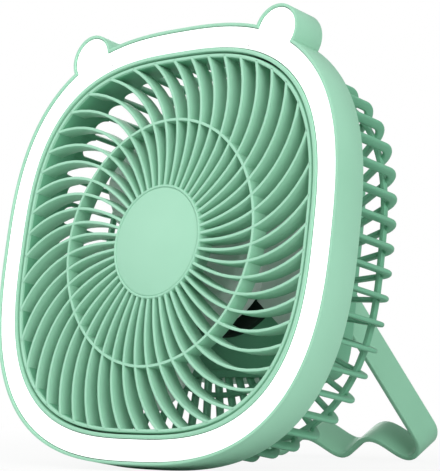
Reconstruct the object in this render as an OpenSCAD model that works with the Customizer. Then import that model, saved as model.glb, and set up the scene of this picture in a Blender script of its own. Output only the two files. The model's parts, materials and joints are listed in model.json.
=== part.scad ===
// Portable camping fan: a squared round face with a ring light and two ears, a ribbed rear
// cage, a battery pod behind it and a wavy strap stand hinged on the pod's back.
// Every module draws in the fan's own frame: x right, y backwards from the front lip, z up.
// place() then leans the fan back onto its stand.

/* [Face] */
// Width of the face
face_w = 180; // [160:1:216]
// Height of the face without the ears
face_h = 178.4; // [160:0.1:216]
// Squareness of the face outline, 2 is an ellipse
face_square = 2.72; // [2.4:0.01:3.4]
// Depth of the casing band
band_depth = 16; // [14:0.5:24]
// Thickness of the outer lip
lip_t = 1.8; // [1.4:0.1:3]
// Width of the ring light
light_w = 8.5; // [7.5:0.1:12]
// Thickness of the lip inside the ring light
inner_lip_t = 1.5; // [1:0.1:2.5]
// Thickness of the floor behind the light channel
floor_t = 2; // [1.5:0.1:3]
// Depth of the light channel
channel_depth = 9.6; // [9:0.1:11]

/* [Ears] */
// Radius of each ear
ear_r = 10.8; // [8:0.1:14]
// Distance of each ear from the middle
ear_x = 51.2; // [40:0.2:60]
// How far the middle of an ear lies below the top of the face
ear_drop = 7.4; // [4:0.1:12]

/* [Ring light] */
// Thickness of the light cover
cover_t = 2; // [1.2:0.1:3]
// How far the light cover lies behind the lips
cover_set = 0.4; // [0:0.1:1]
// Thickness of the lamp board
led_board_t = 1.4; // [1:0.1:2]
// Number of lamps
led_count = 36; // [24:12:48]

/* [Front grille] */
// Number of fins
fin_count = 48; // [36:1:56]
// Thickness of a fin
fin_t = 1.3; // [1:0.1:2]
// Depth of a fin
fin_depth = 8; // [5:0.5:9]
// Sweep of a fin at the hub, degrees per millimetre
fin_sweep = 0.04; // [0:0.01:0.3]
// Growth of the sweep, degrees per square millimetre
fin_curl = 0.006; // [0:0.0001:0.007]
// Turn of the first fin at the hub, in degrees
fin_phase = -1.9; // [-4:0.1:4]
// Radius of the ring half way along the fins
mid_ring_r = 50.4; // [40:0.2:60]
// Radius of the hub
hub_r = 23.4; // [18:0.1:30]
// Thickness of the rim
rim_t = 1.5; // [1:0.1:2.5]
// Gap between the rim and the casing
rim_gap = 0.8; // [0.3:0.1:1.5]

/* [Rear cage] */
// How far the cage steps in from the face
cage_step = 6.7; // [5.5:0.1:8]
// Distance from the front lip to the back of the cage
cage_depth = 52; // [46:0.5:64]
// Number of ribs
rib_count = 52; // [40:1:60]
// Depth of the closed wall behind the casing, where the slots between the ribs start
cage_wall = 5; // [3:0.5:10]
// Thickness of a rib
rib_t = 1.9; // [1.4:0.1:3]
// Height of a rib across the air
rib_h = 4; // [3:0.1:6]
// Outer radius of a rib's corner
rib_corner = 8; // [4.5:0.5:10]
// How far a rib turns off the radius, in degrees
rib_lead = 9; // [0:0.5:14]

/* [Battery pod] */
// Squareness of the pod outline
pod_square = 8; // [6:0.5:10]
// Wall thickness of the pod
pod_wall = 2; // [1.6:0.1:3]
// Room behind the cells for their tray
cell_room = 3.3; // [3:0.1:6]
// Diameter of a battery cell
cell_d = 18.3; // [18:0.1:22]
// Length of a battery cell
cell_l = 65; // [64:0.1:66]
// Diameter of a push button
button_d = 11; // [8:0.1:12]
// Travel of a push button
button_travel = 0.8; // [0.4:0.1:1]

/* [Impeller and motor] */
// Gap between the blades' tips and the ribs
blade_gap = 10.5; // [6:0.5:14]
// Radius of the impeller's hub
impeller_hub_r = 28; // [24:0.5:32]
// Number of blades
blade_count = 3; // [2:1:4]
// Thickness of a blade
blade_t = 1.8; // [1.4:0.1:2.5]
// Slope of a blade, in degrees
blade_pitch = 14; // [10:0.5:15]
// Part of the circle that a blade covers, in degrees
blade_span = 80; // [40:1:86]
// Radius of the motor can
motor_r = 17.5; // [15:0.5:18]
// Radius of the motor shaft
shaft_r = 1.5; // [1:0.1:2]

/* [Stand] */
// Lean of the fan on its stand, in degrees
lean = 9.8; // [6:0.1:14]
// Width of the strap
strap_w = 15.5; // [12:0.1:20]
// Thickness of the strap
strap_t = 2.4; // [2:0.1:3.5]
// Length of one wave along the foot
wave_pitch = 36; // [30:0.5:42]
// Height of a wave
wave_h = 8.5; // [4:0.1:10]
// Outer radius of the foot's corners
foot_r = 8.5; // [6:0.1:12]
// Distance between the outer faces of the legs at the hinge
legs_w = 36.69; // [34:0.01:42]
// Tilt of the open stand off upright, in degrees
stand_tilt = 26.64; // [20:0.01:32]
// Height of the hinge above the fan's middle
hinge_z = 6.8; // [4:0.1:9]
// Distance from the back of the pod to the hinge
hinge_out = 11.1; // [10:0.1:14]
// Radius of the hinge pin
pin_r = 2; // [1.5:0.1:2.5]

/* [Fits] */
// Gap between a moving piece and its neighbour
move_gap = 0.3; // [0.2:0.05:0.5]
// Gap between a fixed piece and the one it sits in
sit_gap = 0.1; // [0.05:0.01:0.3]
// Radial clearance of a shaft in its bearing or eye
run_gap = 0.05; // [0.02:0.01:0.1]

/* [Hidden] */
$fn = 64;

mint = [0.6, 0.81, 0.71];
mint_dark = [0.42, 0.62, 0.52];
steel = [0.75, 0.76, 0.78];

outline_steps = 96;
ring_square = face_square + 0.11;
ear_z = face_h / 2 - ear_drop;
channel_in = lip_t + light_w;
opening_in = channel_in + inner_lip_t;
rim_in = opening_in + rim_gap;
floor_back = channel_depth + floor_t;
flange_t = 2;
flange_back = floor_back + flange_t;

// Screws: thread radius, head radius, head height and the clearance of a through hole
screw_r = 1.2;
head_r = 2.3;
head_h = 1.6;
through_r = 1.35;
post_r = 3.6;

// Cage screws sit between the light channel's walls, each midway between two ribs
cage_screw_in = 7.5;
cage_screw_count = 6;
rib_phase = 0.4;
boss_r = 2.5;
boss_front = cover_set + cover_t + 3;

fin_front = 0.3;
fin_steps = 9;

cage_w = face_w - 2 * cage_step;
cage_h = face_h - 2 * cage_step;
cage_square = 2.75;
flange_lap = 1.2;
wall_back = band_depth + cage_wall;
wall_skin = 0.5;
rib_bend = cage_depth - rib_corner;
ring_outer = 0.927;
ring_inner = 0.904;
thin_ring_r = 55.4;
thin_ring_t = 2.1;

rib_inner = cage_depth - rib_h;
ring_t = 2.6;
pod_front = rib_inner - 0.5;
pod_floor = pod_front + pod_wall;
pod_back = pod_floor + 2.4 + cell_d + cell_room + pod_wall;
pod_inside = pod_back - pod_wall;
pod_seam = pod_front + 18;
pod_post_in = 6.3;
pod_half = pod_wall + max(2 * cell_d + 6.9, cell_l / 2 + 1.1 + post_r + pod_post_in);
pod_post = pod_half - pod_wall - pod_post_in;
collar_t = 1.5;
collar_front = pod_front - 0.8;

// Impeller room and motor stack, measured from the front lip
impeller_r = min(cage_w, cage_h) / 2 - rib_h - blade_gap;
base_r = 30.5;
base_t = 2.6;
base_front = pod_front - base_t;
tube_r = 4.6;
bearing_r = 3.6;
bearing_w = 3;
tube_front = base_front - 14;
stator_r = motor_r - 3.4;
can_t = 1.2;
can_front = tube_front - 3;
can_back = base_front - 1;
impeller_front = can_front - 7.9;
impeller_back = pod_front - 5.5;
impeller_mid = (impeller_front + impeller_back) / 2;
stator_front = tube_front + 2.5;
stator_back = can_back - 1.5;
hub_front = impeller_front + 1;
hub_back = impeller_back - 3.5;
hub_t = 1.6;
blade_back_turn = -38;
blade_full_r = 47;
blade_taper = 0.85;
nut_h = 3;
shaft_front = hub_front - nut_h + 0.8;

// Pod fittings
cell_y = pod_floor + 2.4 + cell_d / 2;
cell_pitch = cell_d + 0.9;
cell_z = -2.8 - cell_d / 2;
board_front = pod_floor + 12;
board_t = 1.6;
board_back = board_front + board_t;
switch_h = 2.9;
bracket_half_z = 14.5;
button_x = 14;
button_r = button_d / 2;
button_z = hinge_z + bracket_half_z + button_r + 1.2;
button_proud = 1;
flange_r = button_r + 1.2;
button_flange_t = 1.5;
stem_r = 1.5;
pipe_r = 1;
pipe_z = button_z + 8;
pipe_pitch = 4.5;
usb_z = 20;
usb_w = 9;
usb_h = 3.2;
usb_l = 9.5;
usb_y = board_front - usb_h / 2;
motor_screw_pcd = 34;
tray_wall = 1.4;

// Stand: the hinge lies across the fan behind the pod
hinge_y = pod_back + hinge_out;
leg_top_x = legs_w / 2;
eye_t = 3;
eye_out = leg_top_x + 0.3;
eye_in = eye_out - eye_t;
washer_t = 0.5;
knuckle_half = eye_in - washer_t - 0.2;
cap_t = 1.8;
pin_end = eye_out + 1.4;
bracket_base_t = 2.5;
bracket_half_x = knuckle_half;
bracket_screw_z = 11;

// The fan stands on the band's lower back edge and on the strap's lower front edge
ground = -face_h / 2 * cos(lean) - band_depth * sin(lean);
hinge_height = hinge_z * cos(lean) - hinge_y * sin(lean) - ground;
stand_reach = (hinge_height - strap_w / 2 * sin(stand_tilt)) / cos(stand_tilt);
stand_open = stand_tilt + lean;
leg_in = wave_pitch - leg_top_x;
leg_rise = stand_reach - foot_r;
leg_splay = acos(-foot_r / sqrt(pow(leg_in, 2) + pow(leg_rise, 2))) - atan2(leg_rise, leg_in);
back_y = hinge_y * cos(lean) + hinge_z * sin(lean)
    + stand_reach * sin(stand_tilt) + strap_w / 2 * cos(stand_tilt);
front_y = -face_h / 2 * sin(lean);
middle_y = (back_y + front_y) / 2;

// Radius of a squared round outline at angle t
function outline_r(t, a, b, n) =
    pow(pow(abs(cos(t)) / a, n) + pow(abs(sin(t)) / b, n), -1 / n);

function outline(a, b, n) =
    [for (i = [0 : outline_steps - 1]) let (t = 360 * i / outline_steps)
        outline_r(t, a, b, n) * [cos(t), sin(t)]];

// Angle of the rib gap that lies nearest to angle t
function gap_turn(t) =
    let (i = round(rib_count * t / 360 - rib_phase - 0.5)) 360 * (i + rib_phase + 0.5) / rib_count;
function cage_screw_turn(i) = gap_turn(360 * (i + 0.5) / cage_screw_count);

// Turn of a fin at radius r, and the unit normal of its curve there
function fin_turn(r) = fin_sweep * (r - hub_r) + fin_curl * pow(r - hub_r, 2);
function fin_slope(r) = (fin_sweep + 2 * fin_curl * (r - hub_r)) * PI / 180 * r;
function fin_point(r, t, side) =
    let (a = t + fin_turn(r), lead = atan(fin_slope(r)))
    r * [cos(a), sin(a)] + side * fin_t / 2 * [-sin(a + lead), cos(a + lead)];

// Angles of a blade's two edges seen from the front, the forward one swept near the tip
function blade_edge(r) = blade_back_turn + blade_span - blade_taper * max(0, r - blade_full_r);
function polar(r, t) = r * [cos(t), sin(t)];

// Outline of the stand's strap, side -1 outside and 1 inside, right half from middle to top
function wave_slope(x) = wave_h / 2 * sin(360 * x / wave_pitch) * 2 * PI / wave_pitch;
function wave_point(x, off) =
    let (m = wave_slope(x), d = sqrt(1 + m * m))
    [x - off * m / d, wave_h / 2 * (1 - cos(360 * x / wave_pitch)) + off / d];
function strap_half(off) = concat(
    [for (i = [0 : 18]) wave_point(wave_pitch * i / 18, off)],
    [for (i = [1 : 10]) let (a = (90 + leg_splay) * i / 10)
        [wave_pitch + (foot_r - off) * sin(a), foot_r - (foot_r - off) * cos(a)]],
    [[leg_top_x - off / cos(leg_splay), stand_reach]]);
function reversed(list) = [for (i = [len(list) - 1 : -1 : 0]) list[i]];
function flipped(list) = [for (p = list) [-p[0], p[1]]];
function tail(list) = [for (i = [1 : len(list) - 1]) list[i]];

module place() {
    translate([0, -middle_y, -ground]) rotate([-lean, 0, 0]) children();
}

// Extrudes an outline drawn in x and z from y0 back to y1
module slab(y0, y1) {
    translate([0, y1, 0]) rotate([90, 0, 0]) linear_extrude(y1 - y0) children();
}

// Round bar along y
module rod_y(r, y0, y1) {
    translate([0, y1, 0]) rotate([90, 0, 0]) cylinder(r = r, h = y1 - y0);
}

// Round bar along x
module rod_x(r, x0, x1) {
    translate([x0, 0, 0]) rotate([0, 90, 0]) cylinder(r = r, h = x1 - x0);
}

module face_shape(inset, n) {
    polygon(outline(face_w / 2 - inset, face_h / 2 - inset, n));
}

module eared_shape(inset) {
    face_shape(inset, face_square);
    for (s = [-1, 1]) translate([s * ear_x, ear_z]) circle(r = ear_r - inset);
}

module cage_shape(scale_r, inset) {
    polygon(outline(cage_w / 2 * scale_r - inset, cage_h / 2 * scale_r - inset, cage_square));
}

module pod_shape(inset) {
    polygon(outline(pod_half - inset, pod_half - inset, pod_square));
}

// Puts children at each cage screw
module at_cage_screws() {
    for (i = [0 : cage_screw_count - 1]) {
        t = cage_screw_turn(i);
        r = outline_r(t, face_w / 2 - cage_screw_in, face_h / 2 - cage_screw_in, face_square);
        translate([r * cos(t), 0, r * sin(t)]) children();
    }
}

module at_pod_corners() {
    for (x = [-pod_post, pod_post], z = [-pod_post, pod_post]) translate([x, 0, z]) children();
}

module at_motor_screws() {
    for (t = [45 : 90 : 315])
        translate([motor_screw_pcd / 2 * cos(t), 0, motor_screw_pcd / 2 * sin(t)]) children();
}

module screw(y_head, length) {
    rod_y(screw_r, y_head - length, y_head);
    rod_y(head_r, y_head, y_head + head_h);
}

module front_frame() color(mint) place() {
    difference() {
        union() {
            difference() {
                slab(0, band_depth) eared_shape(0);
                slab(-1, channel_depth) difference() {
                    eared_shape(lip_t);
                    face_shape(channel_in, ring_square);
                }
                slab(floor_back, band_depth + 1) eared_shape(lip_t);
                slab(-1, band_depth + 1) face_shape(opening_in, ring_square);
            }
            at_cage_screws() rod_y(boss_r, boss_front, channel_depth + 1);
        }
        at_cage_screws() rod_y(screw_r + run_gap, boss_front + 0.8, floor_back + 1);
    }
}

module light_cover() color("white") place() {
    slab(cover_set, cover_set + cover_t) difference() {
        eared_shape(lip_t + sit_gap);
        face_shape(channel_in - sit_gap, ring_square);
    }
    slab(cover_set + cover_t - 0.5, boss_front - sit_gap) difference() {
        eared_shape(lip_t + sit_gap);
        eared_shape(lip_t + sit_gap + 1);
    }
    at_cage_screws() rod_y(boss_r - 0.5, cover_set + cover_t - 0.5, boss_front);
}

module led_board() color("whitesmoke") place() {
    difference() {
        slab(channel_depth - led_board_t, channel_depth) difference() {
            face_shape(lip_t + 0.5, face_square);
            face_shape(channel_in - 0.5, ring_square);
        }
        at_cage_screws() rod_y(boss_r + 0.2, 0, channel_depth + 1);
    }
}

// Lamps spread evenly between each two screw bosses
module leds() color("lightyellow") place() {
    led_in = lip_t + light_w / 2;
    led_back = channel_depth - led_board_t;
    led_share = round(led_count / cage_screw_count);
    for (i = [0 : cage_screw_count - 1], k = [0 : led_share - 1]) {
        t0 = cage_screw_turn(i);
        t = t0 + (cage_screw_turn(i + 1) - t0) * (k + 0.5) / led_share;
        r = outline_r(t, face_w / 2 - led_in, face_h / 2 - led_in, face_square);
        translate([r * cos(t), led_back - 0.35, r * sin(t)]) rotate([0, -t, 0])
            cube([2.8, 0.7, 3.5], center = true);
    }
}

// One swept fin, reaching from the hub into the middle of the rim, which cuts it off
module fin(t) {
    near = hub_r - 0.8;
    far = outline_r(atan2(face_h, face_w), face_w / 2, face_h / 2, ring_square) - lip_t;
    radii = [for (i = [0 : fin_steps]) near + (far - near) * i / fin_steps];
    intersection() {
        polygon(concat([for (r = radii) fin_point(r, t, 1)],
            [for (r = reversed(radii)) fin_point(r, t, -1)]));
        face_shape(rim_in + rim_t / 2, ring_square);
    }
}

module front_grille() color(mint) place() {
    fin_back = fin_front + fin_depth;
    difference() {
        union() {
            for (i = [0 : fin_count - 1])
                slab(fin_front, fin_back) fin(360 * i / fin_count + fin_phase);
            slab(fin_front, fin_back) difference() {
                circle(r = mid_ring_r + fin_t / 2);
                circle(r = mid_ring_r - fin_t / 2);
            }
            slab(fin_front, flange_back) difference() {
                face_shape(rim_in, ring_square);
                face_shape(rim_in + rim_t, ring_square);
            }
            slab(floor_back, flange_back) difference() {
                face_shape(lip_t + 2.2, face_square);
                face_shape(rim_in + rim_t, ring_square);
            }
            rod_y(hub_r, 0, fin_back);
        }
        rod_y(hub_r - 1.2, -1, 1.6);
        rod_y(hub_r - 2, 4, fin_back + 1);
        rod_y(3, 1, 5);
        at_cage_screws() rod_y(through_r, floor_back - 1, flange_back + 1);
    }
}

module hub_cap() color(mint) place() {
    rod_y(hub_r - 1.2 - sit_gap, 0.2, 1.6);
    rod_y(3 - sit_gap, 1.5, 3.6);
}

// Side outline of a rib's corner and back run, x inwards from the cage's outline
module rib_outline(inward) {
    inner_r = rib_corner - rib_h;
    polygon(concat(
        [for (a = [0 : 22.5 : 90])
            [rib_corner * (1 - cos(a)), cage_depth - rib_corner * (1 - sin(a))]],
        [[inward, cage_depth], [inward, cage_depth - rib_h]],
        [for (a = [90 : -30 : 0])
            [rib_corner - inner_r * cos(a), cage_depth - rib_corner + inner_r * sin(a)]]));
}

// Turns a side outline into a rib at each place round the cage
module at_rib(t) {
    r = outline_r(t, cage_w / 2, cage_h / 2, cage_square);
    translate([r * cos(t), 0, r * sin(t)]) rotate([0, -(t + rib_lead) + 180, 0])
        translate([0, 0, -rib_t / 2]) linear_extrude(rib_t) children();
}

// How far a rib runs inwards to the middle of the collar
function rib_inward(t) =
    let (r = outline_r(t, cage_w / 2, cage_h / 2, cage_square),
        wall = pod_half + collar_t / 2,
        r0 = outline_r(t, wall, wall, pod_square),
        drift = asin(r * sin(rib_lead) / r0) - rib_lead,
        r1 = outline_r(t - drift, wall, wall, pod_square))
    r * cos(rib_lead) - sqrt(pow(r1, 2) - pow(r * sin(rib_lead), 2));

module cage_flange() color(mint_dark) place() {
    difference() {
        union() {
            slab(flange_back, band_depth) difference() {
                eared_shape(lip_t + 0.25);
                cage_shape(1, rib_h + flange_lap);
            }
            slab(band_depth - 0.5, wall_back) difference() {
                cage_shape(1, wall_skin);
                cage_shape(1, rib_h - wall_skin);
            }
        }
        at_cage_screws() {
            rod_y(through_r, flange_back - 1, band_depth + 1);
            rod_y(head_r + 0.3, band_depth, wall_back + 1);
        }
    }
}

// The side run of each rib, from the closed wall back to its corner
module cage_ribs() color(mint_dark) place() {
    for (i = [0 : rib_count - 1]) at_rib(360 * (i + rib_phase) / rib_count)
        translate([0, wall_back]) square([rib_h, rib_bend - wall_back]);
}

module cage_back() color(mint_dark) place() {
    difference() {
        union() {
            for (i = [0 : rib_count - 1]) let (t = 360 * (i + rib_phase) / rib_count)
                at_rib(t) rib_outline(rib_inward(t));
            slab(rib_inner - ring_t / 2, rib_inner + ring_t / 2) difference() {
                cage_shape(ring_outer, 0);
                cage_shape(ring_inner, 0);
            }
            slab(rib_inner - ring_t / 2, rib_inner + ring_t / 2) difference() {
                circle(r = thin_ring_r);
                circle(r = thin_ring_r - thin_ring_t);
            }
            slab(collar_front, cage_depth - 0.4) difference() {
                pod_shape(-collar_t);
                pod_shape(collar_t);
            }
        }
        slab(pod_front, cage_depth + 1) pod_shape(-sit_gap);
    }
}

module pod_shell() color(mint_dark) place() {
    difference() {
        union() {
            difference() {
                slab(pod_front, pod_seam) pod_shape(0);
                slab(pod_floor, pod_seam + 1) pod_shape(pod_wall);
            }
            at_pod_corners() rod_y(post_r, pod_floor - 0.5, pod_seam);
            board_posts();
        }
        at_pod_corners() rod_y(screw_r + run_gap, pod_floor + 2, pod_seam + 1);
        at_board_screws() rod_y(screw_r + run_gap, pod_floor + 2, board_front + 1);
        at_motor_screws() rod_y(through_r, pod_front - 1, pod_floor + 1);
        rod_y(tube_r + sit_gap, pod_front - 1, pod_floor + 1);
        usb_opening();
    }
}

module at_board_screws() {
    for (x = [-26, 26]) translate([x, 0, 16]) children();
}

module board_posts() {
    at_board_screws() rod_y(post_r - 0.6, pod_floor - 0.5, board_front);
}

module usb_opening() {
    half = usb_w / 2 - usb_h / 2;
    translate([0, usb_y, usb_z]) {
        for (s = [-1, 1]) translate([0, 0, s * half])
            rod_x(usb_h / 2 + 0.3, -pod_half - 1, -pod_half + pod_wall + 1);
        translate([-pod_half - 1, -usb_h / 2 - 0.3, -half])
            cube([pod_wall + 2, usb_h + 0.6, 2 * half]);
    }
}

module cage_screws() color(steel) place() {
    at_cage_screws() screw(band_depth, band_depth - boss_front - 1);
}

module pod_cover() color(mint) place() {
    difference() {
        union() {
            difference() {
                slab(pod_seam + sit_gap, pod_back) pod_shape(0);
                slab(pod_seam - 1, pod_inside) pod_shape(pod_wall);
            }
            at_pod_corners() rod_y(post_r, pod_seam + sit_gap, pod_inside + 0.5);
            at_bracket_screws() rod_y(post_r - 0.6, pod_inside - 3, pod_inside + 0.5);
        }
        at_pod_corners() {
            rod_y(through_r, pod_seam - 1, pod_back + 1);
            rod_y(head_r + 0.3, pod_seam + 4, pod_back + 1);
        }
        for (s = [-1, 1]) translate([s * button_x, 0, button_z])
            rod_y(button_r + move_gap, pod_inside - 1, pod_back + 1);
        at_pipes() rod_y(pipe_r + run_gap, pod_inside - 1, pod_back + 1);
        at_bracket_screws() rod_y(screw_r + run_gap, pod_inside - 2.2, pod_back + 1);
    }
}

module at_bracket_screws() {
    for (x = [-8, 8], s = [-1, 1])
        translate([x, 0, hinge_z + s * bracket_screw_z]) children();
}

module at_pipes() {
    for (i = [-1.5 : 1 : 1.5]) translate([i * pipe_pitch, 0, pipe_z]) children();
}

module cover_screws() color(steel) place() {
    at_pod_corners() screw(pod_seam + 4, 12);
}

module motor_base() color([0.16, 0.17, 0.17]) place() {
    difference() {
        union() {
            rod_y(base_r, base_front, pod_front);
            rod_y(tube_r, tube_front, pod_floor);
        }
        rod_y(shaft_r + 0.6, tube_front - 1, pod_floor + 1);
        rod_y(bearing_r + 0.02, tube_front - 1, tube_front + bearing_w);
        rod_y(bearing_r + 0.02, pod_floor - bearing_w, pod_floor + 1);
        at_motor_screws() rod_y(screw_r + run_gap, base_front + 0.6, pod_front + 1);
    }
}

module motor_screws() color(steel) place() {
    at_motor_screws() screw(pod_floor, 3.8);
}

module bearings() color(steel) place() {
    for (y = [tube_front, pod_floor - bearing_w]) difference() {
        rod_y(bearing_r, y, y + bearing_w);
        rod_y(shaft_r + run_gap, y - 1, y + bearing_w + 1);
    }
}

module stator_core() color([0.45, 0.46, 0.47]) place() {
    difference() {
        union() {
            rod_y(tube_r + 3, stator_front + 1.5, stator_back - 1.5);
            difference() {
                rod_y(stator_r, stator_front + 1.5, stator_back - 1.5);
                rod_y(stator_r - 1.5, stator_front, stator_back);
                for (i = [0 : 8]) rotate([0, 20 + 40 * i, 0])
                    translate([-1, stator_front, 0]) cube([2, 20, 40]);
            }
            for (i = [0 : 8]) rotate([0, 40 * i, 0])
                translate([-1.2, stator_front + 1.5, tube_r + 1])
                    cube([2.4, stator_back - stator_front - 3, stator_r - tube_r - 2]);
        }
        rod_y(tube_r + 0.02, stator_front, stator_back);
    }
}

module stator_coils() color([0.72, 0.4, 0.2]) place() {
    for (i = [0 : 8]) rotate([0, 40 * i, 0]) difference() {
        translate([-2.2, stator_front, tube_r + 3.4])
            cube([4.4, stator_back - stator_front, stator_r - tube_r - 5.2]);
        translate([-1.25, stator_front + 1.45, tube_r + 3])
            cube([2.5, stator_back - stator_front - 2.9, stator_r - tube_r - 4]);
    }
}

module motor_shaft() color(steel) place() {
    rod_y(shaft_r, shaft_front, pod_floor);
}

module rotor_can() color([0.3, 0.31, 0.32]) place() {
    difference() {
        rod_y(motor_r, can_front, can_back);
        rod_y(motor_r - can_t, can_front + can_t, can_back + 1);
        rod_y(shaft_r + 0.02, can_front - 1, can_back);
    }
}

module rotor_magnets() color([0.2, 0.2, 0.22]) place() {
    difference() {
        rod_y(motor_r - can_t - 0.02, can_front + can_t + 1, can_back - 0.5);
        rod_y(stator_r + 0.5, can_front, can_back + 1);
    }
}

module blade_shape() {
    root = impeller_hub_r - hub_t / 2;
    tip_turn = blade_edge(impeller_r);
    polygon(concat([polar(root, blade_back_turn)],
        [for (i = [0 : 8]) polar(impeller_r,
            blade_back_turn + (tip_turn - blade_back_turn) * i / 8)],
        [for (i = [7 : -1 : 0]) let (r = root + (impeller_r - root) * i / 8)
            polar(r, blade_edge(r))]));
}

module impeller_hub() color([0.86, 0.87, 0.87]) place() {
    difference() {
        union() {
            difference() {
                rod_y(impeller_hub_r, hub_front, hub_back);
                rod_y(impeller_hub_r - hub_t, hub_front + hub_t, hub_back + 1);
            }
            rod_y(motor_r + hub_t, hub_front + 1, impeller_back);
        }
        rod_y(motor_r + sit_gap, can_front, impeller_back + 1);
        rod_y(shaft_r + 0.02, hub_front - 1, can_front + 1);
    }
}

module impeller_blades() color([0.86, 0.87, 0.87]) place() {
    middle_turn = blade_back_turn + blade_span / 2;
    for (i = [0 : blade_count - 1]) rotate([0, -360 * i / blade_count, 0]) difference() {
        intersection() {
            slab(impeller_front, impeller_back) blade_shape();
            translate([0, impeller_mid, 0]) rotate([0, 90 - middle_turn, 0])
                rotate([0, 0, blade_pitch]) translate([-impeller_r, -blade_t / 2, 0])
                    cube([2 * impeller_r, blade_t, impeller_r + 1]);
        }
        rod_y(impeller_hub_r, impeller_front - 1, impeller_back + 1);
    }
}

module impeller_nut() color("goldenrod") place() {
    difference() {
        rod_y(4, hub_front - nut_h, hub_front);
        rod_y(shaft_r + 0.02, shaft_front, hub_front + 1);
    }
}

module battery_cells() color("steelblue") place() {
    for (i = [0, 1]) translate([0, cell_y, cell_z - i * cell_pitch])
        rod_x(cell_d / 2, -cell_l / 2, cell_l / 2);
}

module battery_tabs() color(steel) place() {
    for (s = [-1, 1]) translate([s * (cell_l / 2 + 0.2), cell_y, cell_z - cell_pitch / 2])
        cube([0.4, 7, cell_pitch + 6], center = true);
}

module battery_tray() color("dimgray") place() {
    front = cell_y + 4;
    low = cell_z - cell_pitch - cell_d / 2;
    difference() {
        translate([-cell_l / 2 + 2, front, low])
            cube([cell_l - 4, pod_inside - front, cell_pitch + cell_d]);
        for (i = [0, 1]) translate([0, cell_y, cell_z - i * cell_pitch])
            rod_x(cell_d / 2, -cell_l / 2, cell_l / 2);
        at_bracket_screws() rod_y(post_r, front - 1, pod_inside + 1);
    }
}

module control_board() color("darkgreen") place() {
    difference() {
        union() {
            translate([-32, board_front, 12]) cube([64, board_t, pipe_z - 8]);
            translate([-41, board_front, usb_z - 6]) cube([10, board_t, 12]);
        }
        at_board_screws() rod_y(through_r, board_front - 1, board_back + 1);
    }
}

module board_screws() color(steel) place() {
    at_board_screws() screw(board_back, 8);
}

module switches() color([0.2, 0.2, 0.2]) place() {
    for (s = [-1, 1]) translate([s * button_x, 0, button_z]) {
        translate([-3, board_back, -3]) cube([6, switch_h - 0.6, 6]);
        rod_y(1.7, board_back + switch_h - 0.7, board_back + switch_h);
    }
}

module charge_lights() color("white") place() {
    at_pipes() rod_y(pipe_r, board_back, pod_back - 0.1);
}

module usb_socket() color(steel) place() {
    half = usb_w / 2 - usb_h / 2;
    x0 = -pod_half + 0.6;
    translate([0, usb_y, usb_z]) {
        difference() {
            union() {
                for (s = [-1, 1]) translate([0, 0, s * half]) rod_x(usb_h / 2, x0, x0 + usb_l);
                translate([x0, -usb_h / 2, -half]) cube([usb_l, usb_h, 2 * half]);
            }
            for (s = [-1, 1]) translate([0, 0, s * half])
                rod_x(usb_h / 2 - 0.35, x0 - 1, x0 + usb_l - 1.5);
            translate([x0 - 1, -usb_h / 2 + 0.35, -half])
                cube([usb_l - 0.5, usb_h - 0.7, 2 * half]);
        }
        translate([x0 + 0.8, -0.35, -half]) cube([usb_l - 1, 0.7, 2 * half]);
    }
}

// A push button: cap through the pod cover, flange behind it and a stem to the switch
module button(x) {
    translate([x, 0, button_z]) {
        rod_y(button_r, pod_inside - 1, pod_back + button_proud);
        rod_y(flange_r, pod_inside - move_gap - button_flange_t, pod_inside - move_gap);
        rod_y(stem_r, board_back + switch_h + button_travel + 0.1, pod_inside - 1);
    }
}

module fan_button() color(mint_dark) place() button(-button_x);

module light_button() color(mint_dark) place() button(button_x);

module hinge_bracket() color(mint_dark) place() {
    difference() {
        union() {
            translate([-bracket_half_x, pod_back, hinge_z - bracket_half_z])
                cube([2 * bracket_half_x, bracket_base_t, 2 * bracket_half_z]);
            translate([-knuckle_half, pod_back + 1, hinge_z - 6])
                cube([2 * knuckle_half, hinge_out - 1, 12]);
            translate([0, hinge_y, hinge_z]) rod_x(6, -knuckle_half, knuckle_half);
        }
        translate([0, hinge_y, hinge_z]) rod_x(pin_r + 0.02, -knuckle_half - 1, knuckle_half + 1);
        at_bracket_screws() rod_y(through_r, pod_back - 1, pod_back + bracket_base_t + 1);
    }
}

module bracket_screws() color(steel) place() {
    at_bracket_screws() screw(pod_back + bracket_base_t, 6);
}

module hinge_pin() color(steel) place() {
    translate([0, hinge_y, hinge_z]) rod_x(pin_r, -pin_end, pin_end);
}

module pin_caps() color(steel) place() {
    translate([0, hinge_y, hinge_z]) for (s = [0, 1]) mirror([s, 0, 0]) difference() {
        rod_x(pin_r + 2, eye_out + 0.2, eye_out + 0.2 + cap_t);
        rod_x(pin_r + 0.02, eye_out - 1, pin_end);
    }
}

module friction_washers() color("gray") place() {
    translate([0, hinge_y, hinge_z]) for (s = [0, 1]) mirror([s, 0, 0]) difference() {
        rod_x(5.5, knuckle_half + 0.1, knuckle_half + 0.1 + washer_t);
        rod_x(pin_r + run_gap, knuckle_half - 1, eye_in + 1);
    }
}

module stand_bail() color(mint) place() {
    outside = strap_half(0);
    inside = strap_half(strap_t);
    ring = concat(outside, reversed(inside), tail(flipped(inside)), reversed(tail(flipped(outside))));
    translate([0, hinge_y, hinge_z]) rotate([stand_open, 0, 0]) difference() {
        union() {
            translate([0, 0, -stand_reach]) slab(-strap_w / 2, strap_w / 2) polygon(ring);
            for (s = [0, 1]) mirror([s, 0, 0]) rod_x(strap_w / 2, eye_in, eye_out);
        }
        rod_x(pin_r + run_gap, -eye_out - 1, eye_out + 1);
        for (s = [0, 1]) mirror([s, 0, 0]) rod_x(pin_r + 2 + move_gap, eye_out, eye_out + 4);
    }
}

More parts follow.
